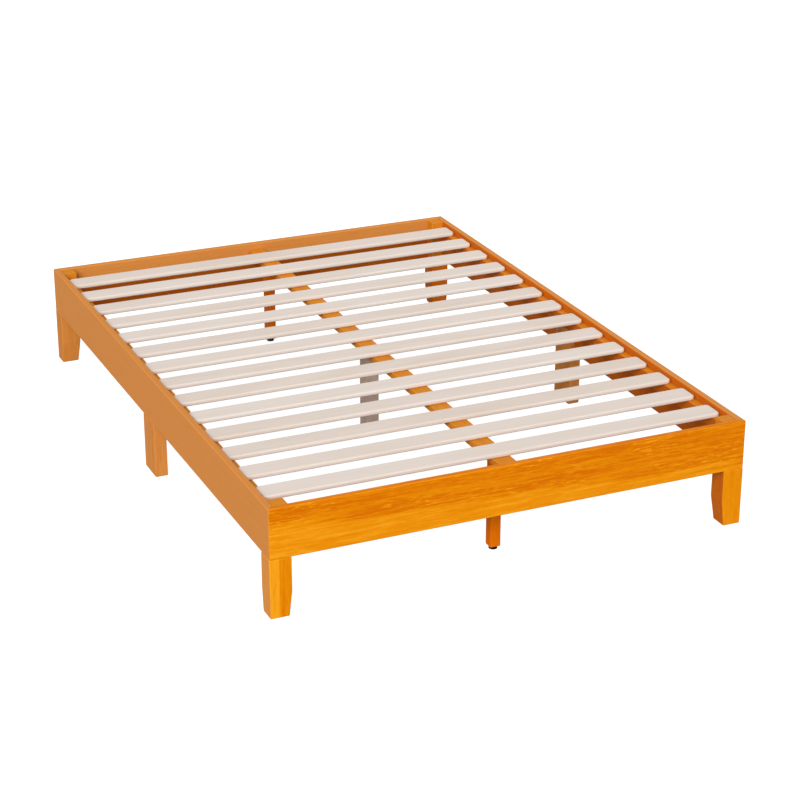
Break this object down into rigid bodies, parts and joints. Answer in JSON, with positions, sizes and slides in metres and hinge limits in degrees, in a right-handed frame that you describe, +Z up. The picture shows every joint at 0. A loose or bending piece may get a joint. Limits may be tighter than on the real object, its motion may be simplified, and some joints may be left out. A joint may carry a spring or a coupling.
{
  "type": "platform bed frame",
  "caption": "Low wooden platform bed frame with deep mitred rails, pale cross slats, tapered corner legs and a beam on legs down the middle.",
  "frame": {"origin": "on the floor under the middle of the frame", "axes": "X runs across the bed, -Y towards the foot end and +Y towards the head end, +Z up"},
  "size_m": [1.375, 1.95, 0.305],
  "materials": {
    "stained_wood": "golden orange stain, satin",
    "slat_wood": "bare pale softwood, matt",
    "grey_wood": "grey-brown, unstained, matt",
    "zinc_steel": "zinc plated",
    "black_steel": "black oxide",
    "black_plastic": "moulded black"
  },
  "bodies": {
    "frame": {"foot_rail": "stained_wood", "head_rail": "stained_wood", "left_side_rail": "stained_wood", "right_side_rail": "stained_wood", "front_left_corner_block": "stained_wood", "front_left_leg": "stained_wood", "front_left_leg_stud": "zinc_steel", "front_left_side_bolt": "zinc_steel", "front_left_end_bolt": "zinc_steel", "front_right_corner_block": "stained_wood", "front_right_leg": "stained_wood", "front_right_leg_stud": "zinc_steel", "front_right_side_bolt": "zinc_steel", "front_right_end_bolt": "zinc_steel", "back_left_corner_block": "stained_wood", "back_left_leg": "stained_wood", "back_left_leg_stud": "zinc_steel", "back_left_side_bolt": "zinc_steel", "back_left_end_bolt": "zinc_steel", "back_right_corner_block": "stained_wood", "back_right_leg": "stained_wood", "back_right_leg_stud": "zinc_steel", "back_right_side_bolt": "zinc_steel", "back_right_end_bolt": "zinc_steel", "left_ledge": "stained_wood", "left_side_leg": "stained_wood", "left_side_leg_front_bolt": "zinc_steel", "left_side_leg_back_bolt": "zinc_steel", "right_ledge": "stained_wood", "right_side_leg": "stained_wood", "right_side_leg_front_bolt": "zinc_steel", "right_side_leg_back_bolt": "zinc_steel", "centre_beam": "stained_wood", "foot_beam_angle": "black_steel", "head_beam_angle": "black_steel", "front_centre_leg": "stained_wood", "front_centre_leg_stud": "zinc_steel", "back_centre_leg": "stained_wood", "back_centre_leg_stud": "zinc_steel", "middle_centre_leg": "grey_wood", "middle_centre_leg_stud": "zinc_steel", "slat_01": "slat_wood", "slat_02": "slat_wood", "slat_03": "slat_wood", "slat_04": "slat_wood", "slat_05": "slat_wood", "slat_06": "slat_wood", "slat_07": "slat_wood", "slat_08": "slat_wood", "slat_09": "slat_wood", "slat_10": "slat_wood", "slat_11": "slat_wood", "slat_12": "slat_wood", "slat_13": "slat_wood", "slat_14": "slat_wood"},
    "front_foot_base": {"front_foot_base": "black_plastic"},
    "front_foot_screw": {"front_foot_screw": "black_steel"},
    "back_foot_base": {"back_foot_base": "black_plastic"},
    "back_foot_screw": {"back_foot_screw": "black_steel"}
  },
  "joints": [
    {"name": "front_foot_travel", "type": "slide", "parent": "frame", "child": "front_foot_base", "axis": [0, 0, -1], "range_m": [-0.003, 0.009]},
    {"name": "front_foot_turn", "type": "hinge", "parent": "front_foot_base", "child": "front_foot_screw", "pos_m": [0, -0.839, 0.02], "axis": [0, 0, -1], "range_deg": [-865, 2593]},
    {"name": "back_foot_travel", "type": "slide", "parent": "frame", "child": "back_foot_base", "axis": [0, 0, -1], "range_m": [-0.003, 0.009]},
    {"name": "back_foot_turn", "type": "hinge", "parent": "back_foot_base", "child": "back_foot_screw", "pos_m": [0, 0.839, 0.02], "axis": [0, 0, -1], "range_deg": [-865, 2593]}
  ],
  "couplings": [
    {"joint": "front_foot_turn", "follows": "front_foot_travel", "rad_per_m": 5026.5},
    {"joint": "back_foot_turn", "follows": "back_foot_travel", "rad_per_m": 5026.5}
  ]
}
